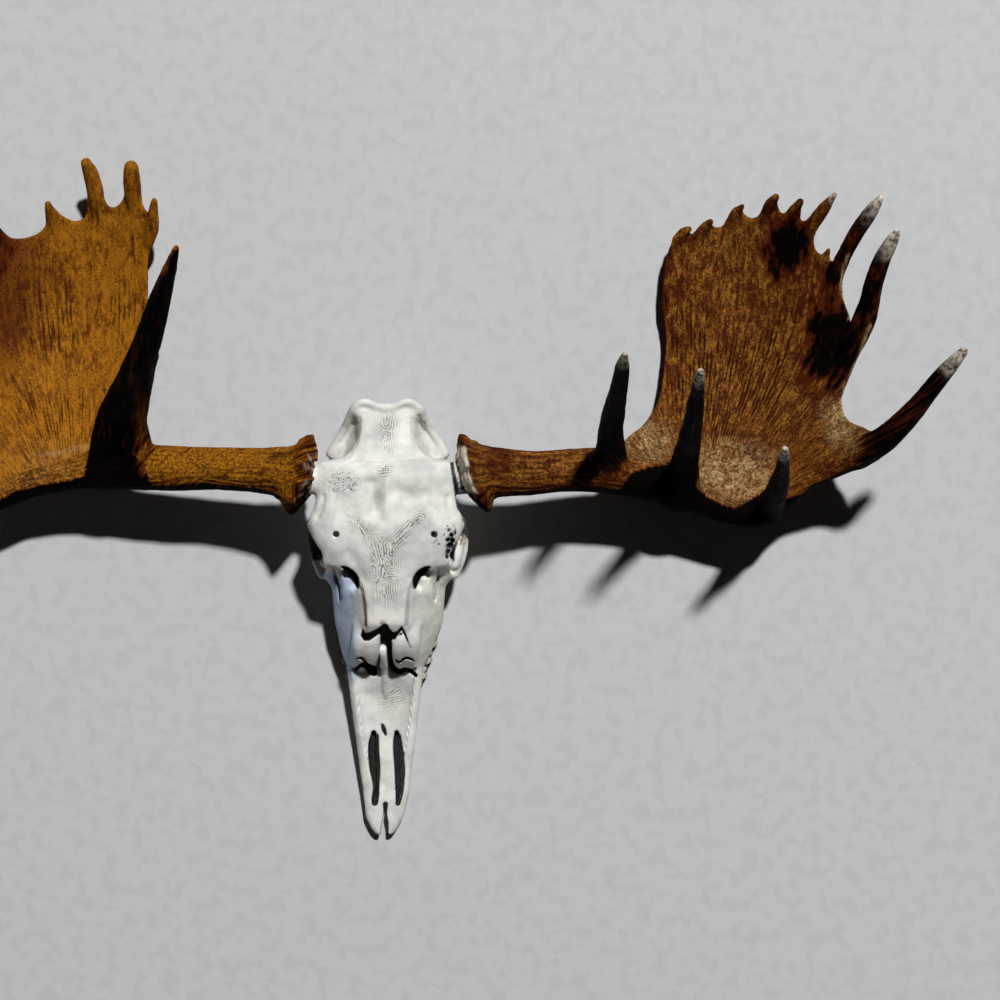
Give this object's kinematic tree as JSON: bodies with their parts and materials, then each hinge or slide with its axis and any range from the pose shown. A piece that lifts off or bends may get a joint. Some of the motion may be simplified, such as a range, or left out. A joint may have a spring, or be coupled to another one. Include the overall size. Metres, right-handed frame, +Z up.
{
  "type": "moose skull with antlers",
  "caption": "Bleached upper skull of a bull moose with wide palmate antlers, open nose, cheek arches, eye sockets and cheek teeth, lying face up.",
  "frame": {"origin": "middle of the object's footprint, on the surface that it rests on", "axes": "+X across the antlers towards the right of a viewer looking at the face, +Y from the snout to the back of the head, +Z up"},
  "size_m": [1.436, 0.9018, 0.5005],
  "materials": {
    "bone": "dry bleached bone, matt",
    "antler": "grooved brown antler, pale polished tips",
    "tooth": "stained enamel, satin"
  },
  "bodies": {
    "root": {"cranium": "bone", "left_premolar_2": "tooth", "left_premolar_3": "tooth", "left_premolar_4": "tooth", "left_molar_1": "tooth", "left_molar_2": "tooth", "left_molar_3": "tooth", "right_premolar_2": "tooth", "right_premolar_3": "tooth", "right_premolar_4": "tooth", "right_molar_1": "tooth", "right_molar_2": "tooth", "right_molar_3": "tooth", "left_beam": "antler", "left_brow_tine": "antler", "left_palm": "antler", "left_front_tine": "antler", "left_lower_tine": "antler", "left_middle_tine": "antler", "left_upper_tine": "antler", "right_beam": "antler", "right_brow_tine_inner": "antler", "right_brow_tine_outer": "antler", "right_palm": "antler", "right_front_tine": "antler", "right_lower_tine": "antler", "right_middle_tine": "antler", "right_upper_tine": "antler"}
  },
  "joints": []
}
